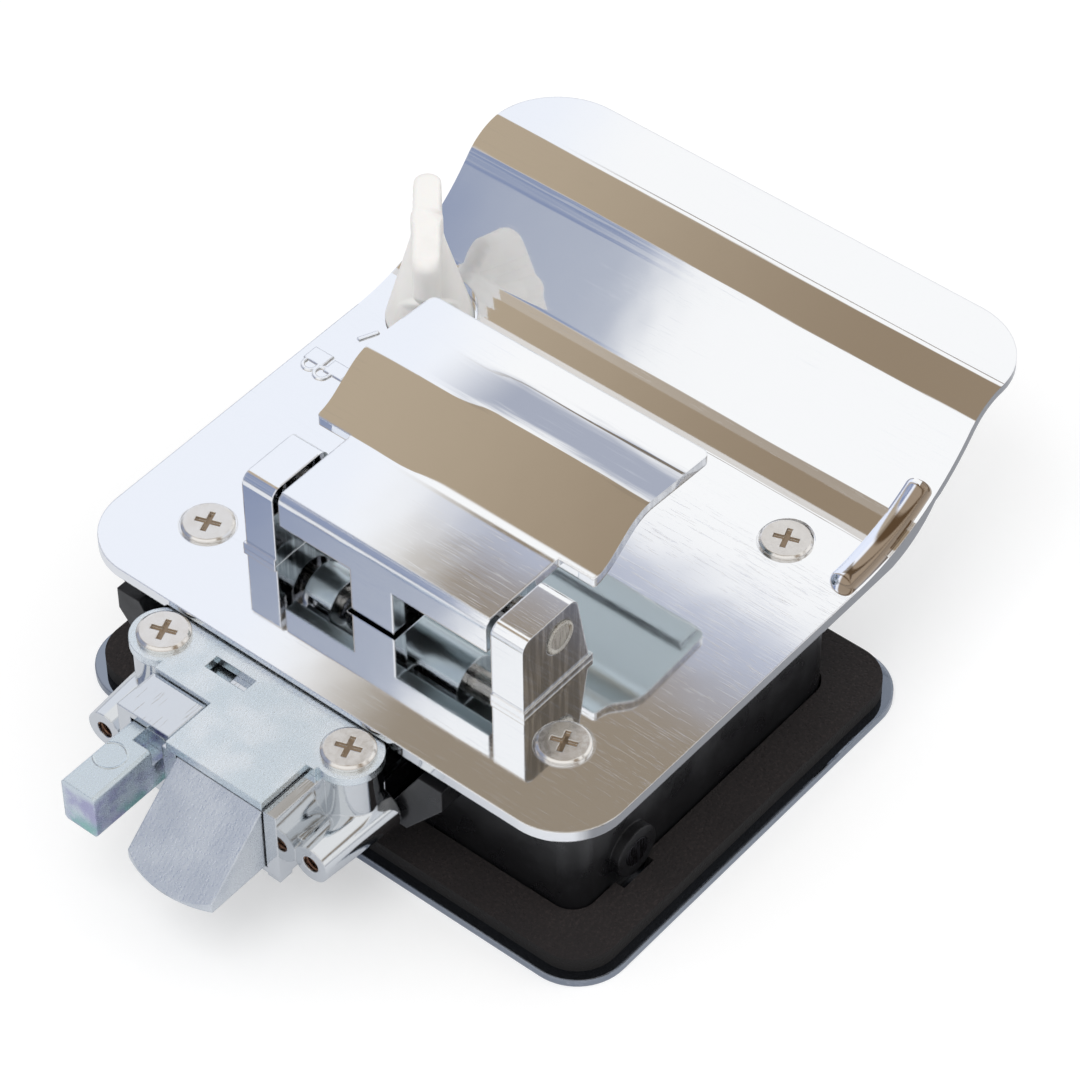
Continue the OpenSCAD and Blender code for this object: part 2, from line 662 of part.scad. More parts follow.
// Body of a key cylinder, its collar in the flange's recess
module key_body(c) {
  color("#c9ced4") difference() {
    union() {
      zc(c[0], c[1], fl_z0 + 0.2, -gasket_t, cyl_d / 2 + 1.5);
      zc(c[0], c[1], -gasket_t - e, cyl_z1, cyl_d / 2);
    }
    zc(c[0], c[1], -10, cyl_z1 + 1, plug_d / 2 + fit);
  }
}

module key_nut(c) {
  color("#8f9296") difference() {
    translate([c[0], c[1], floor_z1]) cylinder(h = 3, r = nut_af / 2 / cos(30), $fn = 6);
    zc(c[0], c[1], 0, 9, cyl_d / 2 + fit);
  }
}

// Plug with its keyway, and a tail that carries the cam
module key_plug(c, z1) {
  color("#b8a777") difference() {
    union() {
      zc(c[0], c[1], fl_z0 + 0.3, cyl_z1 + 0.8, plug_d / 2);
      zc(c[0], c[1], cyl_z1, z1, 3.2);
    }
    box(c[0] - 1.1, c[0] + 1.1, c[1] - 4.2, c[1] + 4.2, fl_z0 - 1, fl_z0 + 8);
    zc(c[0], c[1], z1 - 4, z1 + 1, 1.4 + fit);
  }
}

module cam_screw(c, z) {
  color("#8f9296") {
    zc(c[0], c[1], z, z + 1.3, 4.2);
    zc(c[0], c[1], z - 3.7, z + e, 1.4);
  }
}

// Flat crank on its axis: arm towards angle a
module crank(c, z0, z1, a, l, w, bore) {
  difference() {
    translate([c[0], c[1], z0]) union() {
      cylinder(h = z1 - z0, r = 5.2);
      rotate([0, 0, a]) translate([0, -w / 2, 0]) cube([l, w, z1 - z0]);
      rotate([0, 0, a]) translate([l, 0, 0]) cylinder(h = z1 - z0, r = w / 2);
    }
    zc(c[0], c[1], z0 - 1, z1 + 1, bore);
  }
}

module deadbolt_cylinder() key_body(dc);
module deadbolt_nut() key_nut(dc);
module handle_cylinder() key_body(hc);
module handle_nut() key_nut(hc);
module deadbolt_plug() key_plug(dc, dcam_z0 + 2);
module handle_plug() key_plug(hc, hcam_z0 + 2);
module deadbolt_cam_screw() cam_screw(dc, dcam_z0 + 2);
module handle_cam_screw() cam_screw(hc, hcam_z0 + 2);

module deadbolt_cam() {
  a = -90 - crank_in;
  color("#9fa7ad") {
    crank(dc, dcam_z0, dcam_z0 + 2, a, crank_r, 6, 3.2 + fit);
    zc(dc[0] + crank_r * cos(a), dc[1] + crank_r * sin(a), dcam_z0 + 1, link_z1 + 0.2,
      crank_pin_d / 2);
  }
}

module handle_cam() {
  color("#9fa7ad") crank(hc, hcam_z0, hcam_z0 + 2, 0, hc[1], 6, 3.2 + fit);
}

module inner_paddle() {
  x0 = -pad_ax + 8.1;
  color("#d8dce2") difference() {
    union() {
      intersection() {
        along_y(-60, 60) difference() {
          under_s(bar_x + 1, x0, blade_z, 10, 36, 5.07, 10, pad_x1, 4, 0, 30);
          under_s(bar_x + 1, x0, blade_z, 10, 36, 5.07, 10, pad_x1, 4, pad_t, 30);
        }
        linear_extrude(90) union() {
          translate([bar_x, -pad_hw]) square([12 - x0, 2 * pad_hw]);
          plan(x0 + 1.2, pad_x1, pad_bw, 0.6, 1.5);
        }
      }
      along_y(-pad_hw, pad_hw) union() {
        translate([bar_x, bar_z0]) square([2.6, bar_z1 - 2 - bar_z0]);
        translate([bar_x + 2, bar_z1 - 2]) circle(r = 2);
      }
      box(bar_x, bar_x + leg_t, leg_y0, leg_y1, nose_z, bar_z1 - 1.8);
      yc(nose_x, nose_z, leg_y0, leg_y1, nose_r);
      box(bar_x + 1, -pad_ax, leg_y0, leg_y1, bar_z0 + 0.5, bar_z1 - 1);
      for (y = [[16.4, pad_hw], [leg_y0 - 9.7, leg_y1]]) {
        yc(-pad_ax, paz, y[0], y[1], 4.8);
        box(-pad_ax - 4.8, -pad_ax + 4.8, y[0], y[1], paz, bar_z1 - 1);
      }
      box(pad_x1 - 5.1, pad_x1 - 0.3, 1.5 - pad_bw, pad_bw - 1.5, blade_z + 3, blade_z + 4.8);
    }
    yc(-pad_ax, paz, -60, 60, pin_r + fit);
    yc(-pad_ax, paz, leg_y1 + e, 16.4 - e, 4.4);
  }
}

function arc(c, r, a0, a1, n = 12) =
  [for (i = [0:n]) c + r * [cos(a0 + (a1 - a0) * i / n), sin(a0 + (a1 - a0) * i / n)]];

module outer_handle() {
  z0 = han_az - han_r;
  o = [-han_ax, han_az];
  ta = atan(travel / 2 / tail_z);
  tr = norm([travel / 2, tail_z]);
  hub_r = han_pin_d / 2 + 1.9;
  color("#c3c8ce") difference() {
    union() {
      along_y(han_y0, han_y1) polygon(concat(arc(o, han_r, 270, 190), arc(o, han_r - han_t, 190, 270),
        [[han_x1, z0 + han_t], [han_x1, z0]]));
      box(han_x1 - 2.5, han_x1, han_y0, han_y1, z0, z0 + 7);
      for (y = [[han_y0, han_y0 + 9], [tail_y0, tail_y1], [han_y1 - 8, han_y1]]) {
        yc(-han_ax, han_az, y[0], y[1], hub_r);
        along_y(y[0], y[1]) polygon(concat([o], arc(o, han_r - han_t / 2, 192, 262)));
        along_y(y[0], y[1]) polygon([o + [-hub_r + 0.5, 0], o + [-hub_r + 0.3, -han_r + 2],
          o + [han_r + 8, -han_r + 1], o + [hub_r - 0.5, 0.6]]);
      }
      translate([-han_ax, 0, han_az]) rotate([0, -ta, 0])
        box(-2.5, 2.5, tail_y0, tail_y1, han_pin_d / 2 + 0.6, tr + 2.3);
      yc(-han_ax - travel / 2, han_az + tail_z, tail_y1 - 1, ear0_y0 + ear0_t + 0.8, han_nose_d / 2);
      box(hc[0] - 6.5, hc[0] - 4.5, -1.5, 3.4, z0 + 1, hcam_z0 + 4.6);
      box(hc[0] - 6.5, hc[0] + 2.5, -1.5, 3.4, hcam_z0 + 2.6, hcam_z0 + 4.6);
    }
    yc(-han_ax, han_az, -60, 60, han_pin_d / 2 + fit);
  }
}

module slam_latch() {
  y0 = lat_y - latch_w / 2;
  y1 = lat_y + latch_w / 2;
  color("#c8ccd8") difference() {
    intersection() {
      along_y(y0, y1) polygon([[-54, ret_z1], [-54, lz1], [-case_x, lz1], [tip_x + 1.4, lz0 + 1.3],
        [tip_x, lz0], [-60, lz0], [-60, ret_z1]]);
      union() {
        zc(tip_x + latch_pr, lat_y, 0, 60, latch_pr);
        box(-64, 0, -60, 60, 0, 60);
      }
    }
    xc(lat_y, lz0 + 8.2, spring_x0, -50, 4.1);
    for (s = [-1, 1]) {
      zc(-57, lat_y + 6.7 * s, 0, 60, 1.75 + fit);
      zc(-57, lat_y + 6.7 * s, lz1 - 1.3, 60, 2.45);
    }
  }
}

module retractor() {
  px = -han_ax - travel / 2;
  color("#a8b0ae") difference() {
    union() {
      box(-59.7, nose_x + 6.4, lat_y - latch_w / 2, lat_y + latch_w / 2 - 0.4, lz0, ret_z1);
      box(-case_x1 + 0.4, nose_x + 6.4, ear0_y0, ear0_y0 + ear0_t, lz0, house_z1 + 2.2);
    }
    box(nose_x - nose_r - free, nose_x + nose_r + free, leg_y0 - 0.4, leg_y1 + 0.4, 0, ret_z1 + 1);
    box(px - han_nose_d / 2 - free, px + han_nose_d / 2 + free, -20, ear0_y0 + ear0_t + 1,
      han_az + tail_z - han_nose_d / 2 - 0.4, 60);
    for (s = [-1, 1]) {
      zc(-57, lat_y + 6.7 * s, 0, 60, 1.75 + fit);
      zc(-57, lat_y + 6.7 * s, 0, lz0 + 1.3, 2.45);
    }
  }
}

module retractor_rivets() {
  color("#8f9296") for (s = [-1, 1]) {
    zc(-57, lat_y + 6.7 * s, lz0 + 0.2, lz1 - 0.2, 1.75);
    zc(-57, lat_y + 6.7 * s, lz0 + 0.2, lz0 + 1.2, 2.4);
    zc(-57, lat_y + 6.7 * s, lz1 - 1.2, lz1 - 0.2, 2.4);
  }
}

module deadbolt() {
  w = bolt_w / 2;
  c = 0.5;
  color("#bfcad2") difference() {
    along_x(tip_x, -32) polygon([[bolt_y - w + c, bolt_z0], [bolt_y + w - c, bolt_z0],
      [bolt_y + w, bolt_z0 + c], [bolt_y + w, bolt_z1 - c], [bolt_y + w - c, bolt_z1],
      [bolt_y - w + c, bolt_z1], [bolt_y - w, bolt_z1 - c], [bolt_y - w, bolt_z0 + c]]);
    box(-44, 0, 0, 60, link_z0 - 0.3, 60);
    box(-68.8, -65.5, 0, bolt_y + 0.4, bolt_z1 - 3.7, 60);
    zc(-36, bolt_y, bolt_z0 + 3, 60, 1.75 + fit);
  }
}

module deadbolt_link() {
  y0 = dc[1] - crank_r - 3.6;
  kx = knob_x - travel / 2;
  px = dc[0] - travel / 2;
  r = crank_pin_d / 2;
  b = crank_r * cos(crank_in);
  color("#a8b0ae") translate([0, 0, link_z0]) linear_extrude(link_t) difference() {
    union() {
      translate([-42.5, bolt_y - bolt_w / 2]) square([11, 12]);
      translate([-42.5, y0]) square([kx + 42.5 + 4.2, 12]);
      translate([kx - 5, y0]) square([9.2, knob_y - b + r + 3 - y0]);
    }
    translate([-36, bolt_y]) circle(r = 1.75 + fit);
    translate([kx - r - free, knob_y - crank_r - r - 0.4])
      square([2 * (r + free), crank_r - b + 2 * r + 0.8]);
    translate([px - r - free, dc[1] - crank_r - r - 0.4])
      square([2 * (r + free), crank_r - b + 2 * r + 0.8]);
  }
}

module link_rivet() {
  color("#8f9296") {
    zc(-36, bolt_y, bolt_z0 + 3.2, link_z1 + e, 1.75);
    zc(-36, bolt_y, link_z1, link_z1 + 0.9, 2.9);
  }
}

module knob() {
  kb = face + 0.5;
  kt = face + knob_h;
  g = grip_l / 2;
  r = 2.5;
  color("#f4f3f0") difference() {
    union() {
      translate([knob_x, knob_y, kb]) cylinder(h = 19, r1 = knob_d / 2, r2 = 2.8);
      zc(knob_x, knob_y, arm_z1, kb + 1, 3.4);
      translate([knob_x, knob_y, 0]) translate([0, 0, arm_z0]) rotate([0, 0, 40])
        translate([-2.1, -2.1, 0]) cube([4.2, 4.2, arm_z1 - arm_z0 + 1]);
      translate([knob_x, knob_y, 0]) rotate([0, 0, 40]) along_y(-grip_t / 2, grip_t / 2)
        polygon(concat([[-g, kt - 8.5]], arc([r - g, kt - r], r, 180, 90), arc([g - r, kt - r], r, 90, 0),
          [[g, kt - 8.5], [5.8, kt - 17.5], [5.8, kb + 0.4], [-5.8, kb + 0.4], [-5.8, kt - 17.5]]));
    }
    zc(knob_x, knob_y, 0, arm_z1 + 8, 1.3 + fit);
  }
}

module knob_crank() {
  a = -90 - crank_in;
  color("#9fa7ad") {
    difference() {
      crank([knob_x, knob_y], arm_z0, arm_z1, a, crank_r, 6, 1);
      translate([knob_x, knob_y, 0]) rotate([0, 0, 40]) translate([-2.15, -2.15, 0]) cube([4.3, 4.3, 60]);
    }
    zc(knob_x + crank_r * cos(a), knob_y + crank_r * sin(a), link_z0 - 0.4, arm_z0 + 0.5,
      crank_pin_d / 2);
  }
}

module crank_screw() {
  color("#8f9296") {
    zc(knob_x, knob_y, arm_z0 - 1.3, arm_z0, 3.3);
    zc(knob_x, knob_y, arm_z0 - e, arm_z1 + 7, 1.3);
  }
}

outer_flange();
gasket();
housing();
frame_screws();
inner_plate();
plate_screws();
latch_case();
case_screws();
latch_cover();
cover_screws();
paddle_pin();
paddle_spring();
handle_pin();
handle_pin_clip();
handle_spring();
latch_spring();
deadbolt_cylinder();
deadbolt_nut();
handle_cylinder();
handle_nut();
inner_paddle();
outer_handle();
slam_latch();
retractor();
retractor_rivets();
deadbolt();
deadbolt_link();
link_rivet();
knob();
knob_crank();
crank_screw();
deadbolt_plug();
deadbolt_cam();
deadbolt_cam_screw();
handle_plug();
handle_cam();
handle_cam_screw();
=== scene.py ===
import json
import math

import bmesh
import bpy
from mathutils import Matrix, Vector

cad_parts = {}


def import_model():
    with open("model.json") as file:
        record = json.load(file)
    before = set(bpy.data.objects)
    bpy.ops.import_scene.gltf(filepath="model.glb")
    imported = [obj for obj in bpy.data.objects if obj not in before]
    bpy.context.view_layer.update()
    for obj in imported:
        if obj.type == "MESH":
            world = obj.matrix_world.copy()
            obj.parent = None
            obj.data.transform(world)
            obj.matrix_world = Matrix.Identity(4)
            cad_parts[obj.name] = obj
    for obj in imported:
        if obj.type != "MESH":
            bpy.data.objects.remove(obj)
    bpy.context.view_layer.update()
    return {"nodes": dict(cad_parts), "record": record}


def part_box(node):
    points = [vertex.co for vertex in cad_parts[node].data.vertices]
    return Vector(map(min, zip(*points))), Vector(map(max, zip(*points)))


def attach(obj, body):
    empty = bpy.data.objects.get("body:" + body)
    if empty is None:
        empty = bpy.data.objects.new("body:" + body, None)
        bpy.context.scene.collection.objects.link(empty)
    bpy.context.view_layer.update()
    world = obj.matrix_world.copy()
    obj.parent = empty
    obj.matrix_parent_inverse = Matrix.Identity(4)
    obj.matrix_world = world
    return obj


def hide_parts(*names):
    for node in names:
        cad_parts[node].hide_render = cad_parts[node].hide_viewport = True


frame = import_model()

NODES = frame["nodes"]
MM = 0.001


# Helpers for node graphs
class Graph:
    """A node tree with short calls: n() adds any node, and the others add the usual ones."""

    def __init__(self, tree):
        self.tree = tree

    def n(self, kind, inputs=None, **props):
        node = self.tree.nodes.new(kind)
        for key, value in props.items():
            setattr(node, key, value)
        for key, value in (inputs or {}).items():
            self.put(node.inputs[key], value)
        return node

    def put(self, socket, value):
        if isinstance(value, bpy.types.NodeSocket):
            self.tree.links.new(value, socket)
        else:
            socket.default_value = value

    def math(self, op, a, b=0.0):
        node = self.n("ShaderNodeMath", operation=op)
        self.put(node.inputs[0], a)
        self.put(node.inputs[1], b)
        return node.outputs[0]

    def step(self, value, lo, hi, a=0.0, b=1.0):
        """Smooth step from a at lo to b at hi."""
        node = self.n("ShaderNodeMapRange", interpolation_type="SMOOTHSTEP")
        ends = {"From Min": lo, "From Max": hi, "To Min": a, "To Max": b}
        for key, v in {"Value": value, **ends}.items():
            self.put(node.inputs[key], v)
        return node.outputs[0]

    def times(self, a, b):
        return self.math("MULTIPLY", a, b)

    def window(self, v, a, b, c, d):
        """1 between b and c, falling to 0 at a and d."""
        return self.times(self.step(v, a, b), self.step(v, c, d, 1.0, 0.0))

    def mix(self, f, a, b):
        node = self.n("ShaderNodeMix", data_type="RGBA")
        self.put(node.inputs[0], f)
        self.put(node.inputs[6], a)
        self.put(node.inputs[7], b)
        return node.outputs[2]


def lin(r, g, b):
    """Colour written as 0 to 255, in linear light."""
    def one(c):
        c /= 255
        return c / 12.92 if c <= 0.04045 else ((c + 0.055) / 1.055) ** 2.4
    return (one(r), one(g), one(b), 1.0)


class Finish(Graph):
    """A material around one Principled BSDF, in the piece's own coordinates."""

    def __init__(self, name, base, metallic, rough, **sockets):
        self.mat = bpy.data.materials.new(name)
        self.mat.use_nodes = True
        super().__init__(self.mat.node_tree)
        self.bsdf = self.tree.nodes["Principled BSDF"]
        self.bsdf.inputs["Metallic"].default_value = metallic
        self.bsdf.inputs["Roughness"].default_value = rough
        self.bsdf.inputs["Base Color"].default_value = base
        for key, value in sockets.items():
            self.bsdf.inputs[key.replace("_", " ")].default_value = value
        self.base = base
        self.rough = rough
        where = self.n("ShaderNodeTexCoord")
        self.co = where.outputs["Object"]
        self.xyz = self.n("ShaderNodeSeparateXYZ", {"Vector": self.co}).outputs
        self.facing = self.n("ShaderNodeSeparateXYZ", {"Vector": where.outputs["Normal"]}).outputs
        self.normal = None

    def at(self, scale):
        """The piece's coordinates, stretched along each axis."""
        return self.n("ShaderNodeMapping", {"Vector": self.co, "Scale": scale}).outputs[0]

    def noise(self, scale, detail=2.0, where=None, rough=0.5):
        sockets = {"Vector": where or self.co, "Scale": scale, "Detail": detail, "Roughness": rough}
        return self.n("ShaderNodeTexNoise", sockets).outputs["Fac"]

    def drift(self, scale, size, detail):
        """A soft shift of up to half of size to either side."""
        return self.times(self.math("SUBTRACT", self.noise(1.0, detail, self.at(scale)), 0.5), size)

    def round_edges(self, radius):
        """Edges that catch the light as if rounded by radius."""
        self.normal = self.n("ShaderNodeBevel", {"Radius": radius}, samples=4).outputs[0]

    def bump(self, height, distance, strength=1.0):
        inputs = {"Height": height, "Distance": distance, "Strength": strength}
        if self.normal is not None:
            inputs["Normal"] = self.normal
        self.normal = self.n("ShaderNodeBump", inputs).outputs[0]

    def steer(self, mask, slope):
        """Where mask is high the sheen lies as on a face that climbs by slope degrees along X."""
        a = math.radians(slope)
        aim = self.n("ShaderNodeVectorTransform", {"Vector": (-math.sin(a), 0.0, math.cos(a))},
                     vector_type="NORMAL", convert_from="OBJECT", convert_to="WORLD").outputs[0]
        base = self.normal or self.n("ShaderNodeNewGeometry").outputs["Normal"]
        both = self.n("ShaderNodeMix", {0: mask, 4: base, 5: aim}, data_type="VECTOR").outputs[1]
        self.normal = self.n("ShaderNodeVectorMath", {0: both}, operation="NORMALIZE").outputs[0]

    def vary(self, f, other):
        """Base colour drifts to other where f is high."""
        self.base = self.mix(f, self.base, other)

    def done(self):
        """Joins what was worked out to the shader, and returns the material."""
        self.put(self.bsdf.inputs["Base Color"], self.base)
        self.put(self.bsdf.inputs["Roughness"], self.rough)
        if self.normal is not None:
            self.put(self.bsdf.inputs["Normal"], self.normal)
        return self.mat


# Stretches of the chrome along X, in metres: a sheen begins, is full, is full to here, and ends
SCOOP_FOOT = (0.0293, 0.0297, 0.0384, 0.0388)
SCOOP_RISE = (0.0455, 0.0466, 0.0590, 0.0602)
SCOOP_CREST = (0.0600, 0.0622, 0.0678, 0.0704)
BLADE_RISE = (-0.0094, -0.0081, 0.0030, 0.0052)
BLADE_SHOULDER = (0.0036, 0.0054, 0.0118, 0.0140)
BLADE_SHADE = (0.0034, 0.0060, 0.0108, 0.0146)
FACES_UP = (0.35, 0.5)
FACES_DOWN = (-0.3, -0.6)


def plate_sheen(f):
    """The scoop's foot mirrors as if flat, its rise as one even slope, and its crest as a flatter one."""
    up = f.step(f.facing[2], *FACES_UP)
    x = f.math("ADD", f.xyz[0], f.drift((900, 25, 900), 0.0009, 2))
    f.steer(f.times(up, f.window(x, *SCOOP_FOOT)), -1)
    f.steer(f.times(up, f.window(x, *SCOOP_RISE)), 37)
    f.steer(f.times(up, f.window(x, *SCOOP_CREST)), 19)
    # Painted shade on the side walls that face down the door, even in tone along the thin edge
    thin_edge = f.step(f.xyz[1], -0.0530, -0.0540)
    painted_side_shade(f, 0.33, thin_edge)


def paddle_sheen(f):
    """The blade's rise is one even slope, and beyond it lies a softer shoulder with a shade on it."""
    y = f.xyz[1]
    up = f.step(f.facing[2], *FACES_UP)
    x = f.math("ADD", f.xyz[0], f.drift((500, 20, 500), 0.0022, 3))
    late = f.math("SUBTRACT", x, f.step(y, 0.012, 0.002, 0.0, 0.0014))
    f.steer(f.times(up, f.window(late, *BLADE_RISE)), 18)
    soft = f.math("ADD", late, f.drift((900, 60, 900), 0.004, 3))
    shade = f.times(f.window(soft, *BLADE_SHADE), f.step(y, 0.020, 0.002))
    f.steer(f.times(up, f.window(late, *BLADE_SHOULDER)), 8)
    f.vary(f.times(up, shade), lin(166, 172, 188))
    # Painted shade on the blade's side walls that face down the door
    painted_side_shade(f, 0.6)
    f.under = f.step(f.facing[2], *FACES_DOWN)


def flange_sheen(f):
    """Painted shade: the rim towards the door keeps a dark base colour, and only the outer face is bright
    chrome.
    """
    f.vary(f.step(f.facing[2], *FACES_DOWN), (0.92, 0.94, 0.97, 1))


def bead_sheen(f):
    """Painted reflection: the bead's flank towards the low side gets a tan base colour."""
    f.vary(f.step(f.facing[1], -0.02, -0.14), lin(154, 137, 119))


def painted_side_shade(f, level, plain=0.0):
    """Painted shade: side walls that face down the door get a darker base colour in brushed-looking
    streaks, even in tone where plain is high.
    """
    side = f.step(f.facing[1], -0.7, -0.9)
    shade_tone = tuple(c * level for c in (0.93, 0.95, 1.0)) + (1,)
    grain = f.step(f.noise(1.0, 3, f.at((900, 900, 60))), 0.25, 0.6, 0.55, 1.0)
    f.vary(f.times(side, f.math("MAXIMUM", grain, plain)), shade_tone)


def chrome(name, base, grain, scratch, edge=0.0004, rough=0.035, dull=0.10, sheen=None, wear=1.0):
    """Mirror plating: fine scratches along the grain, in patches, and a slight waviness."""
    f = Finish(name, base, 1.0, rough)
    f.round_edges(edge)
    f.under = None
    if sheen:
        sheen(f)
    patch = f.step(f.noise(55, 3), 0.46, 0.64)
    lines = f.noise(1.0, 3, f.at(grain), 0.7)
    hair = f.step(f.noise(1.0, 2, f.at([g * 2.3 for g in grain])), 0.62, 0.7)
    marks = f.times(f.step(lines, 0.52, 0.72), patch)
    f.rough = f.math("ADD", f.step(marks, 0.0, 1.0, rough, rough + dull), f.times(hair, 0.05 * wear))
    f.bump(f.noise(90, 1), 0.00003, 0.35)
    f.bump(f.math("ADD", f.times(lines, patch), f.times(hair, 0.5)), 0.000012, scratch)
    f.vary(f.times(marks, 0.35 * wear), (0.78, 0.82, 0.88, 1))
    if f.under is not None:
        f.vary(f.under, lin(200, 212, 216))
        f.rough = f.math("MAXIMUM", f.rough, f.times(f.under, 0.3))
    return f.done()


def zinc(name, base, tint, streak, grain=2600, rough=0.3):
    """Bright zinc plate on a casting: fine sparkle, cloudy tint and a soft shine."""
    f = Finish(name, base, 1.0, rough)
    f.round_edges(0.0003)
    cloud = f.step(f.noise(130, 3), 0.38, 0.66)
    speck = f.noise(grain, 1.5)
    f.vary(cloud, tint)
    f.vary(f.step(speck, 0.62, 0.8, 0, 0.35), (0.95, 0.97, 1.0, 1))
    f.rough = f.step(speck, 0.3, 0.7, rough * 0.75, rough * 1.3)
    height = f.math("ADD", speck, f.times(f.noise(1.0, 2, f.at(streak)), 1.2))
    f.bump(height, 0.00004, 0.5)
    return f.done()


# Finishes of the record's slots
def gasket_foam():
    """Near-black foam with open pores, and painted shade that makes its side walls darker."""
    f = Finish("gasket_foam", lin(38, 34, 34), 0.0, 0.93)
    grain = f.noise(1500, 3, rough=0.75)
    pores = f.n("ShaderNodeTexVoronoi", {"Vector": f.co, "Scale": 1400.0}).outputs["Distance"]
    f.vary(f.step(grain, 0.45, 0.75), lin(56, 49, 48))
    f.vary(f.step(f.noise(60, 2), 0.45, 0.7, 0, 0.5), lin(31, 28, 29))
    # Painted shade: faces that turn away from up get a darker base colour
    f.vary(f.step(f.facing[2], 0.6, 0.3), lin(22, 20, 20))
    f.bump(f.math("ADD", grain, f.step(pores, 0.1, 0.45)), 0.00012, 0.7)
    return f.done()


def black_mould():
    """Black moulding with a faint mottle."""
    f = Finish("black_mould", lin(20, 20, 22), 0.0, 0.34)
    f.round_edges(0.0004)
    f.rough = f.step(f.noise(140, 3), 0.35, 0.7, 0.26, 0.42)
    f.vary(f.step(f.noise(900, 2), 0.5, 0.8, 0, 0.5), lin(34, 34, 37))
    f.bump(f.noise(1900, 2), 0.00002, 0.35)
    return f.done()


def white_mould():
    """Off-white moulding that lets a little light in."""
    f = Finish("white_mould", lin(238, 236, 233), 0.0, 0.36,
               Subsurface_Weight=0.06, Subsurface_Scale=0.002)
    f.vary(f.step(f.noise(160, 3), 0.4, 0.7, 0, 0.5), lin(229, 226, 223))
    f.rough = f.step(f.noise(700, 2), 0.3, 0.7, 0.3, 0.44)
    f.bump(f.noise(1500, 2), 0.000015, 0.3)
    return f.done()


def bolt_zinc():
    """Pale top with a ring mark, and violet and teal tints on the sides, as passivated zinc has."""
    f = Finish("bolt_zinc", lin(214, 224, 230), 1.0, 0.3)
    f.round_edges(0.0004)
    x, y, z = f.xyz
    cloud = f.step(f.noise(210, 3), 0.35, 0.65)
    f.vary(f.times(f.step(z, 0.0265, 0.0245), cloud), lin(176, 176, 208))
    low_cloud = f.step(f.noise(260, 2), 0.4, 0.6)
    f.vary(f.times(f.step(z, 0.0215, 0.018), low_cloud), lin(150, 196, 192))
    speck = f.noise(2400, 2)
    f.vary(f.step(speck, 0.6, 0.8, 0, 0.3), (0.95, 0.98, 1, 1))
    ring_x, ring_y, ring_r = -0.0736, 0.0192, 0.0028
    dx, dy = f.math("SUBTRACT", x, ring_x), f.math("SUBTRACT", y, ring_y)
    r = f.math("SQRT", f.math("ADD", f.times(dx, dx), f.times(dy, dy)))
    off = f.math("ABSOLUTE", f.math("SUBTRACT", r, ring_r))
    f.rough = f.step(speck, 0.3, 0.7, 0.24, 0.36)
    f.bump(f.step(off, 0.0, 0.0003, 1.0, 0.0), 0.00012, 0.8)
    f.bump(speck, 0.00003, 0.4)
    return f.done()


def drawn_steel(name, base):
    """Turned or drawn steel with fine lines across."""
    f = Finish(name, base, 1.0, 0.28)
    f.round_edges(0.0002)
    f.rough = f.step(f.noise(1.0, 2, f.at((2500, 300, 300))), 0.35, 0.7, 0.2, 0.4)
    f.vary(f.step(f.noise(240, 2), 0.4, 0.7, 0, 0.6), tuple(c * 0.8 for c in base[:3]) + (1,))
    f.bump(f.noise(1.0, 2, f.at((3200, 300, 300))), 0.000015, 0.4)
    return f.done()


def screw_head():
    """Warm nickel with a matte grain, and painted brown shade on the floors of its cross recesses."""
    f = Finish("screw_nickel", lin(234, 231, 227), 1.0, 0.2)
    f.round_edges(0.00025)
    f.rough = f.step(f.noise(900, 3), 0.35, 0.7, 0.16, 0.24)
    f.vary(f.step(f.noise(420, 3), 0.45, 0.7, 0, 0.25), lin(220, 213, 206))
    x, z = f.xyz[0], f.xyz[2]
    cover = f.step(x, -0.0440, -0.0450)
    plate_floor, cover_floor = 0.0313, 0.0299
    above, reach = 0.0005, 0.0002
    on_plate = f.times(f.step(z, plate_floor + above, plate_floor + reach), f.math("SUBTRACT", 1.0, cover))
    on_cover = f.times(f.step(z, cover_floor + above, cover_floor + reach), cover)
    recess_shade = f.math("MAXIMUM", on_plate, on_cover)
    # Painted shade: the up-facing floors of the sunk cross get a brown base colour
    f.vary(f.times(recess_shade, f.step(f.facing[2], 0.7, 0.9)), lin(150, 132, 112))
    f.bump(f.noise(1800, 2), 0.000012, 0.3)
    return f.done()


def copper_thread():
    """Brown coppery flanks of the tapped threads."""
    f = Finish("copper_thread", lin(150, 112, 88), 1.0, 0.3)
    f.rough = f.step(f.noise(1500, 2), 0.3, 0.7, 0.22, 0.42)
    f.vary(f.step(f.noise(900, 2), 0.4, 0.65), lin(96, 70, 60))
    return f.done()


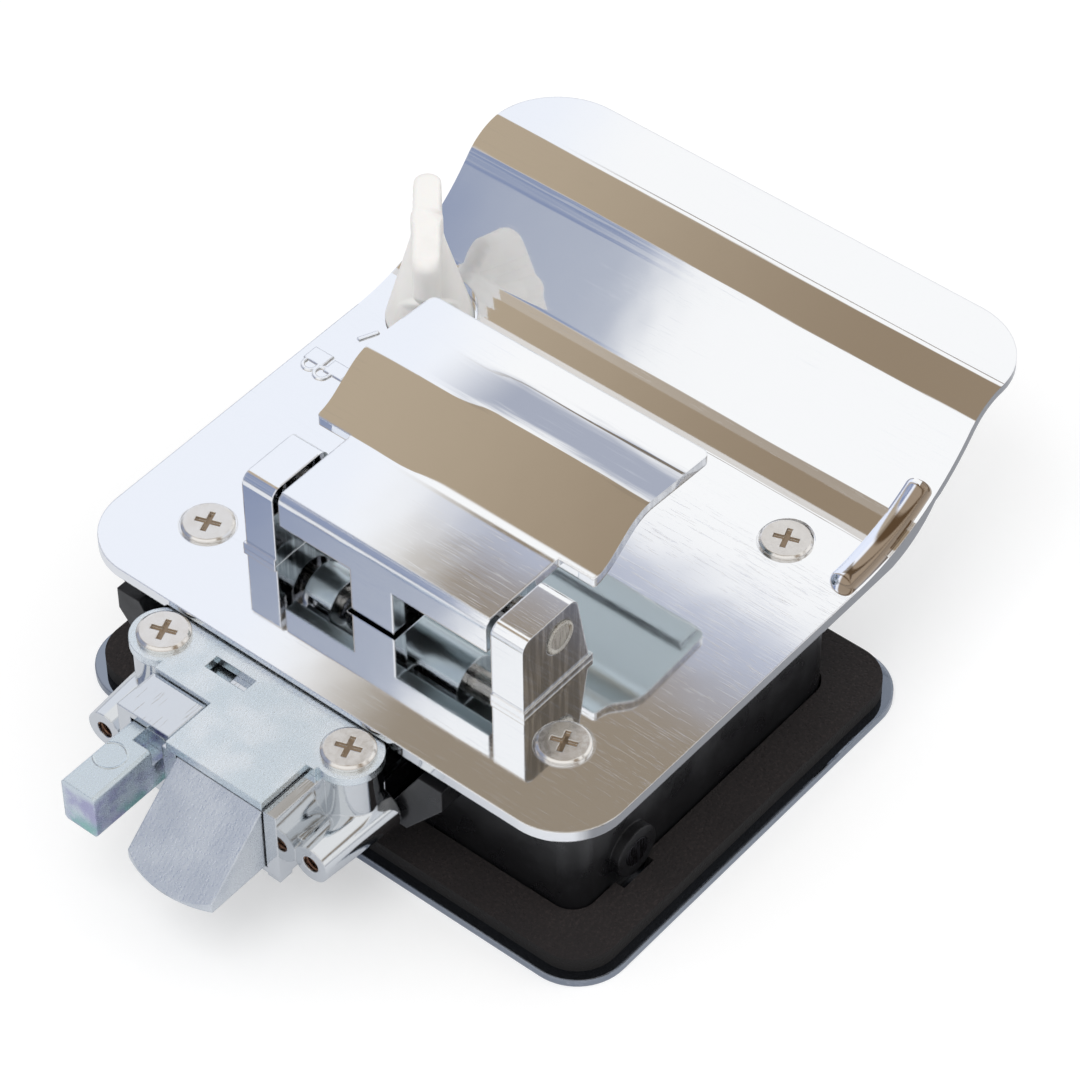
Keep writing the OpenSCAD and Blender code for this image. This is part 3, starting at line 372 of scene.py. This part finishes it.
CHROME = (0.93, 0.94, 0.955, 1)
BLUISH = (0.86, 0.89, 0.97, 1)
# Painted shade: dark base colour for the flange's chrome on its rim
SHADED_RIM = (0.28, 0.31, 0.36, 1)
BUFFED = (0.90, 0.92, 0.94, 1)
CAST = (0.70, 0.72, 0.74, 1)
TURNED = (0.86, 0.87, 0.89, 1)
FINISH = {
    "plate_chrome": chrome("plate_chrome", CHROME, (2600, 70, 2600), 0.09, rough=0.05, dull=0.04,
                           sheen=plate_sheen, wear=0.35),
    "bead_chrome": chrome("bead_chrome", BLUISH, (2600, 70, 2600), 0.1, dull=0.03, sheen=bead_sheen,
                          wear=0.2),
    "paddle_chrome": chrome("paddle_chrome", CHROME, (2200, 60, 2200), 0.15, edge=0.0006, dull=0.06,
                            sheen=paddle_sheen, wear=0.5),
    "flange_chrome": chrome("flange_chrome", SHADED_RIM, (40, 1300, 1300), 0.2, edge=0.0005,
                            sheen=flange_sheen, wear=0.5),
    "handle_chrome": chrome("handle_chrome", BUFFED, (1300, 40, 1300), 0.35, edge=0.0006),
    "case_chrome": chrome("case_chrome", CAST, (60, 900, 900), 0.5, rough=0.07),
    "cylinder_chrome": chrome("cylinder_chrome", TURNED, (700, 700, 60), 0.4, rough=0.08),
    "cover_zinc": zinc("cover_zinc", lin(232, 238, 242), lin(218, 228, 234), (900, 90, 900)),
    "latch_zinc": zinc("latch_zinc", lin(222, 226, 230), lin(208, 213, 220), (300, 2200, 900),
                       grain=3400, rough=0.34),
    "lever_zinc": zinc("lever_zinc", lin(186, 190, 192), lin(170, 178, 176), (90, 900, 900), rough=0.33),
    "plug_nickel": zinc("plug_nickel", lin(200, 197, 190), lin(184, 180, 172), (900, 900, 90), rough=0.24),
    "bolt_zinc": bolt_zinc(),
    "screw_nickel": screw_head(),
    "pin_steel": drawn_steel("pin_steel", lin(190, 186, 178)),
    "pin_black": drawn_steel("pin_black", lin(66, 66, 71)),
    "spring_steel": drawn_steel("spring_steel", lin(132, 133, 138)),
    "copper_thread": copper_thread(),
    "housing_plastic": black_mould(),
    "gasket_rubber": gasket_foam(),
    "knob_plastic": white_mould(),
}
SLOT = {s["node"]: s["material_slot"] for s in frame["record"]["subparts"]}
OWN_FINISH = {"handle_pin": "pin_black"}
for name, node in NODES.items():
    node.data.materials.clear()
    node.data.materials.append(FINISH[OWN_FINISH.get(name, SLOT[name])])


# Modelled pieces
def add(name, verts, faces, finish, body, smooth=True):
    """A mesh that rides on a body, in one finish."""
    mesh = bpy.data.meshes.new(name)
    mesh.from_pydata([Vector(v) for v in verts], [], faces)
    mesh.validate()
    obj = bpy.data.objects.new(name, mesh)
    bpy.context.scene.collection.objects.link(obj)
    bm = bmesh.new()
    bm.from_mesh(mesh)
    bmesh.ops.recalc_face_normals(bm, faces=bm.faces)
    bm.to_mesh(mesh)
    bm.free()
    for p in mesh.polygons:
        p.use_smooth = smooth
    mesh.materials.append(FINISH[finish])
    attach(obj, body)
    return obj


def bands(rows, n):
    """Faces between neighbouring rings of n vertices each."""
    faces = []
    for j in range(rows - 1):
        for i in range(n):
            k = (i + 1) % n
            faces.append((j * n + i, j * n + k, (j + 1) * n + k, (j + 1) * n + i))
    return faces


def tube(points, r, sides=8):
    """Vertices and faces of a round wire along a list of points."""
    verts = []
    for i, p in enumerate(points):
        d = (points[min(i + 1, len(points) - 1)] - points[max(i - 1, 0)]).normalized()
        a = d.orthogonal().normalized() if i == 0 else (a - d * a.dot(d)).normalized()
        b = d.cross(a)
        for k in range(sides):
            t = 2 * math.pi * k / sides
            verts.append(p + a * (r * math.cos(t)) + b * (r * math.sin(t)))
    n = len(verts)
    faces = bands(len(points), sides)
    faces += [tuple(range(sides)), tuple(range(n - sides, n))]
    return verts, faces


def smooth_max(a, b, k):
    """The larger of a and b, blended over a width of k."""
    h = max(0.0, min(1.0, 0.5 + 0.5 * (a - b) / k))
    return b * (1 - h) + a * h + k * h * (1 - h)


# Ribs on the thumb turn's flanks: where each begins, their width and height, and how the lower ones bend
RIBS = [(6.6 - 1.95 * i) * MM for i in range(9)]
RIB_HALF, RIB_HIGH = 0.26 * MM, 0.12 * MM
RIB_TOP, RIB_FADE = 0.7 * MM, 0.6 * MM
STRAIGHT_RIBS = 4
BEND, BEND_FROM, BEND_RUN = 3.4 * MM, 6.0 * MM, 9.0 * MM


def ease(k):
    """Smooth rise from 0 to 1."""
    return k * k * (3 - 2 * k)


def rib(u, down, far):
    """Height of the fine ribs on a flank; far is +1 where the first rib lies towards +u."""
    if down < RIB_TOP:
        return 0.0
    bend = BEND * ease(min(1.0, max(0.0, (down - BEND_FROM) / BEND_RUN)))
    high = 0.0
    for i, at in enumerate(RIBS):
        off = abs(u * far - (at - (bend if i >= STRAIGHT_RIBS else 0.0)))
        high = max(high, 1 - off / RIB_HALF)
    return RIB_HIGH * high * min(1.0, (down - RIB_TOP) / RIB_FADE)


# The thumb turn, in metres and degrees; depths are measured down from its top
GRIP_LENGTH, GRIP_THICK = 12.7 * MM, 2.45 * MM
GRIP_CORNER, GRIP_EDGE = 2.5 * MM, 0.9 * MM
GRIP_FOOT = 31.7 * MM
CONE_FOOT, CONE_TAPER, CONE_TALL = 8 * MM, 5.2 * MM, 19 * MM
WAIST_FROM, WAIST_RUN, WAIST = 8.5 * MM, 9 * MM, 5.8 * MM
HOLLOW, HOLLOW_AT, HOLLOW_REACH = 0.8 * MM, 15 * MM, 9 * MM
HOLLOW_OFF, HOLLOW_WIDE = 1.2 * MM, 2.2 * MM
BLEND = 0.9 * MM
GRIP_TURN = 40


def corner_off(length, radius, down):
    """Half length at a depth below the top, where a round corner takes some off."""
    if down >= radius:
        return length
    return length - radius + math.sqrt(max(0.0, radius ** 2 - (radius - down) ** 2))


def grip_flank(u, thick, cone, down, far):
    """Half thickness of the grip at u along it, with ribs, hollows and the cone."""
    v = thick + rib(u, down, far)
    hollow = math.exp(-((abs(u) - cone - HOLLOW_OFF) / HOLLOW_WIDE) ** 2)
    v -= HOLLOW * hollow * max(0.0, 1 - abs(down - HOLLOW_AT) / HOLLOW_REACH)
    if abs(u) < cone:
        v = smooth_max(v, math.sqrt(cone * cone - u * u), BLEND)
    return v


def grip_ring(z, top, count, turns):
    """One level of the grip: both flanks, and a round cap at each end."""
    down = top - z
    cone = CONE_FOOT - CONE_TAPER * min(1.0, (z - GRIP_FOOT) / CONE_TALL)
    length = corner_off(GRIP_LENGTH, GRIP_CORNER, down)
    if down > WAIST_FROM:
        k = min(1.0, (down - WAIST_FROM) / WAIST_RUN)
        length = GRIP_LENGTH + (WAIST - GRIP_LENGTH) * (0.5 * k + 0.5 * ease(k))
    thick = corner_off(GRIP_THICK, GRIP_EDGE, down)
    end = min(thick, length * 0.5)
    flat = length - end
    ring = []
    for side in (-1, 1):
        for i in range(count + 1):
            u = -side * flat * (1 - 2 * i / count)
            ring.append((u, side * grip_flank(u, thick, cone, down, -side), z))
        v = abs(ring[-1][1])
        for i in range(1, turns):
            t = math.pi * i / turns
            ring.append((side * (flat + end * math.sin(t)), side * v * math.cos(t), z))
    return ring


def knob():
    """Thumb turn: a thin grip with ribbed flanks and hollows beside its cone."""
    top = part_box("knob")[1].z
    low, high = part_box("crank_screw")
    axis = (low + high) / 2
    count, turns, levels, steps = 150, 12, 110, 14
    downs = {round((top - GRIP_FOOT) * i / levels, 7) for i in range(levels + 1)}
    downs |= {round(GRIP_CORNER * (1 - math.cos(math.pi / 2 * i / steps)), 7) for i in range(steps + 1)}
    downs = sorted(downs, reverse=True)
    verts = [v for down in downs for v in grip_ring(top - down, top, count, turns)]
    around = 2 * (count + turns)
    n = len(downs)
    faces = bands(n, around)
    faces += [tuple(reversed(range(around))), tuple(range((n - 1) * around, n * around))]
    turn = Matrix.Translation((axis.x, axis.y, 0)) @ Matrix.Rotation(math.radians(GRIP_TURN), 4, "Z")
    return add("knob_grip", [turn @ Vector(v) for v in verts], faces, "knob_plastic", "turn_knob")


def threads():
    """Inner threads of the two tapped bosses, as one fine helix each."""
    pitch, turns, sides = 0.75 * MM, 10, 24
    radius, wire = 1.6 * MM, 0.19 * MM
    x0, z0 = -63.2 * MM, 15.5 * MM
    for name, y in (("low", -15.0 * MM), ("high", 31.2 * MM)):
        pts = []
        for i in range(sides * turns + 1):
            t = 2 * math.pi * i / sides
            across, up = radius * math.cos(t), radius * math.sin(t)
            pts.append(Vector((x0 + pitch * i / sides, y + across, z0 + up)))
        v, f = tube(pts, wire, 6)
        add("boss_thread_" + name, v, f, "copper_thread", "base")


def knurl():
    """Ring of fine teeth round the head of the paddle's pin."""
    lo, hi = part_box("paddle_pin")
    cx, cz = (lo.x + hi.x) / 2, (lo.z + hi.z) / 2
    n = 72
    # Each ring in millimetres: how far beyond the head's face, its radius, and how deep its teeth are
    rings = ((-0.02, 2.3, 0), (-0.25, 2.75, 0.05), (-0.2, 3.1, 0.1), (0.05, 3.18, 0.12), (0.3, 3.2, 0.12))
    verts = []
    for y, r, depth in rings:
        for i in range(n):
            a = 2 * math.pi * i / n
            q = (r - depth * (i % 2)) * MM
            verts.append((cx + q * math.cos(a), lo.y + y * MM, cz + q * math.sin(a)))
    add("pin_knurl", verts, bands(len(rings), n), "pin_steel", "base", smooth=False)


def bead():
    """Smooth rounded bead beside the scoop's foot, over the plain one of the plate."""
    face, x0, y0 = 31.2 * MM, 29.5 * MM, -52.45 * MM
    r, run, half, cap, sink = 39.75 * MM, 21 * MM, 2.35 * MM, 1.6 * MM, 0.6 * MM
    length = r * math.asin(run / r)
    round_off = [(cap * math.sin(0.24 * i), math.cos(0.24 * i)) for i in range(1, 7)]
    stops = [(-s, k) for s, k in reversed(round_off)]
    stops += [(length * i / 24, 1.0) for i in range(25)]
    stops += [(length + s, k) for s, k in round_off]
    section = []
    for i in range(25):
        t = math.pi * i / 24
        c = math.cos(t)
        section.append((math.copysign(abs(c) ** 0.9, c) * half, abs(math.sin(t)) ** 0.9 * half))
    section += [(-half, -sink), (half, -sink)]
    verts = []
    for s, k in stops:
        a = max(0.0, s) / r
        x, z = x0 + min(0.0, s) + r * math.sin(a), face + r * (1 - math.cos(a))
        verts += [(x - math.sin(a) * h * k, y0 + w * k, z + math.cos(a) * h * k) for w, h in section]
    n = len(section)
    last = (len(stops) - 1) * n
    faces = bands(len(stops), n) + [tuple(range(n)), tuple(range(last, last + n))]
    add("scoop_bead", verts, faces, "bead_chrome", "base")


grip = knob()
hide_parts("knob")
threads()
knurl()
bead()


# Floor, light and camera
def mirrored(g, path):
    """1 on rays that come from a shiny surface or through a clear one."""
    return g.math("MAXIMUM", path["Is Glossy Ray"], path["Is Transmission Ray"])


def floor():
    """Pale floor that keeps the shadow, glows near white to the camera and grey-blue to shiny surfaces."""
    mesh = bpy.data.meshes.new("floor")
    z, a = -4.56 * MM, 6
    mesh.from_pydata([(-a, -a, z), (a, -a, z), (a, a, z), (-a, a, z)], [], [(0, 1, 2, 3)])
    obj = bpy.data.objects.new("floor", mesh)
    bpy.context.scene.collection.objects.link(obj)
    f = Finish("floor_white", (0.86, 0.86, 0.86, 1), 0.0, 0.8)
    tree = f.tree
    out = tree.nodes["Material Output"]
    glow = f.n("ShaderNodeEmission", {"Strength": 0.74})
    path = f.n("ShaderNodeLightPath").outputs
    shiny = mirrored(f, path)
    seen = f.math("MAXIMUM", path["Is Camera Ray"], shiny)
    f.put(glow.inputs["Color"], f.mix(shiny, (1, 1, 1, 1), lin(146, 154, 170)))
    dim = f.n("ShaderNodeMixShader", {0: f.times(seen, 0.55)})
    tree.links.new(f.bsdf.outputs[0], dim.inputs[1])
    half = f.n("ShaderNodeAddShader")
    tree.links.new(glow.outputs[0], half.inputs[0])
    faint = f.n("ShaderNodeBsdfDiffuse", {"Color": (0.45, 0.45, 0.45, 1)})
    tree.links.new(faint.outputs[0], half.inputs[1])
    tree.links.new(half.outputs[0], dim.inputs[2])
    tree.links.new(dim.outputs[0], out.inputs["Surface"])
    f.bump(f.noise(40, 2), 0.0001, 0.1)
    f.done()
    mesh.materials.append(f.mat)


# Bands of the studio in degrees round the Y axis: begins, is full, is full to here, and ends
TAN_GAP = (76.5, 82.0, 95.5, 101.0)
DARK_CARD = (52.9, 53.3, 60.0, 62.0)


def world():
    """White studio. Shiny surfaces see its soft boxes, the tan gap between them and a cool side."""
    w = bpy.data.worlds.new("studio")
    bpy.context.scene.world = w
    w.use_nodes = True
    g = Graph(w.node_tree)
    back = g.tree.nodes["Background"]
    d = g.n("ShaderNodeTexCoord").outputs["Generated"]
    x, y, z = g.n("ShaderNodeSeparateXYZ", {"Vector": d}).outputs
    phi = g.times(g.math("ARCTAN2", z, x), 180 / math.pi)
    gap = g.window(phi, *TAN_GAP)
    cool = g.times(g.step(phi, 97.0, 100.0), g.step(y, 0.447, 0.458))
    cloud = g.n("ShaderNodeTexNoise", {"Vector": d, "Scale": 7.0, "Detail": 2.0}).outputs["Fac"]
    blue = g.mix(g.step(cloud, 0.35, 0.65), lin(136, 148, 178), lin(178, 184, 198))
    c = g.mix(g.step(y, 0.466, 0.49), (1.0, 1.0, 1.0, 1), (0.90, 0.93, 1.0, 1))
    c = g.mix(cool, c, blue)
    tan = g.mix(g.step(y, 0.40, 0.50), lin(150, 133, 112), lin(184, 168, 146))
    c = g.mix(gap, c, tan)
    card = g.times(g.window(phi, *DARK_CARD), g.step(y, 0.481, 0.452))
    c = g.mix(card, c, g.mix(g.step(phi, 53.7, 55.0), lin(184, 190, 208), lin(150, 138, 122)))
    low = g.step(z, 0.16, -0.02)
    c = g.mix(g.times(low, 0.75), c, lin(112, 120, 136))
    path = g.n("ShaderNodeLightPath").outputs
    c = g.mix(mirrored(g, path), (0.80, 0.80, 0.80, 1), c)
    c = g.mix(path["Is Camera Ray"], c, (1, 1, 1, 1))
    g.put(back.inputs["Color"], c)
    back.inputs["Strength"].default_value = 1.0


def lamp(name, where, size, power):
    """Soft lamp aimed at the lock, unseen by shiny surfaces and the camera."""
    light = bpy.data.lights.new(name, "AREA")
    light.shape = "RECTANGLE"
    light.size, light.size_y = size
    light.energy = power
    obj = bpy.data.objects.new(name, light)
    obj.location = where
    aim = Vector((0, 0, 0.02)) - Vector(where)
    obj.rotation_euler = aim.to_track_quat("-Z", "Y").to_euler()
    obj.visible_glossy = False
    obj.visible_camera = False
    bpy.context.scene.collection.objects.link(obj)


# The photograph's camera, fitted to the lock's own flat faces and right angles
AZIMUTH, ELEVATION, ROLL = -49.84, 46.12, -0.63
CAMERA_AT = (-402.4 * MM, -350.7 * MM, 585.7 * MM)
SENSOR, LENS = 36, 151.4


def camera():
    """The camera of the photograph."""
    cam = bpy.data.cameras.new("camera")
    cam.sensor_fit = "HORIZONTAL"
    cam.sensor_width = SENSOR
    cam.lens = LENS
    cam.clip_start = 0.05
    obj = bpy.data.objects.new("camera", cam)
    az, el, roll = math.radians(AZIMUTH), math.radians(ELEVATION), math.radians(ROLL)
    back = Vector((math.sin(az) * math.cos(el), -math.cos(az) * math.cos(el), math.sin(el)))
    right = Vector((math.cos(az), math.sin(az), 0))
    up = back.cross(right)
    r = right * math.cos(roll) + up * math.sin(roll)
    u = up * math.cos(roll) - right * math.sin(roll)
    obj.matrix_world = Matrix.Translation(CAMERA_AT) @ Matrix(
        ((r.x, u.x, back.x), (r.y, u.y, back.y), (r.z, u.z, back.z))).to_4x4()
    bpy.context.scene.collection.objects.link(obj)
    bpy.context.scene.camera = obj


floor()
world()
lamp("key", (-0.5, -0.1, 0.9), (0.5, 0.5), 3.2)
lamp("fill", (0.7, -0.7, 0.6), (0.6, 0.6), 1.6)
camera()
bpy.context.scene.view_settings.view_transform = "Standard"
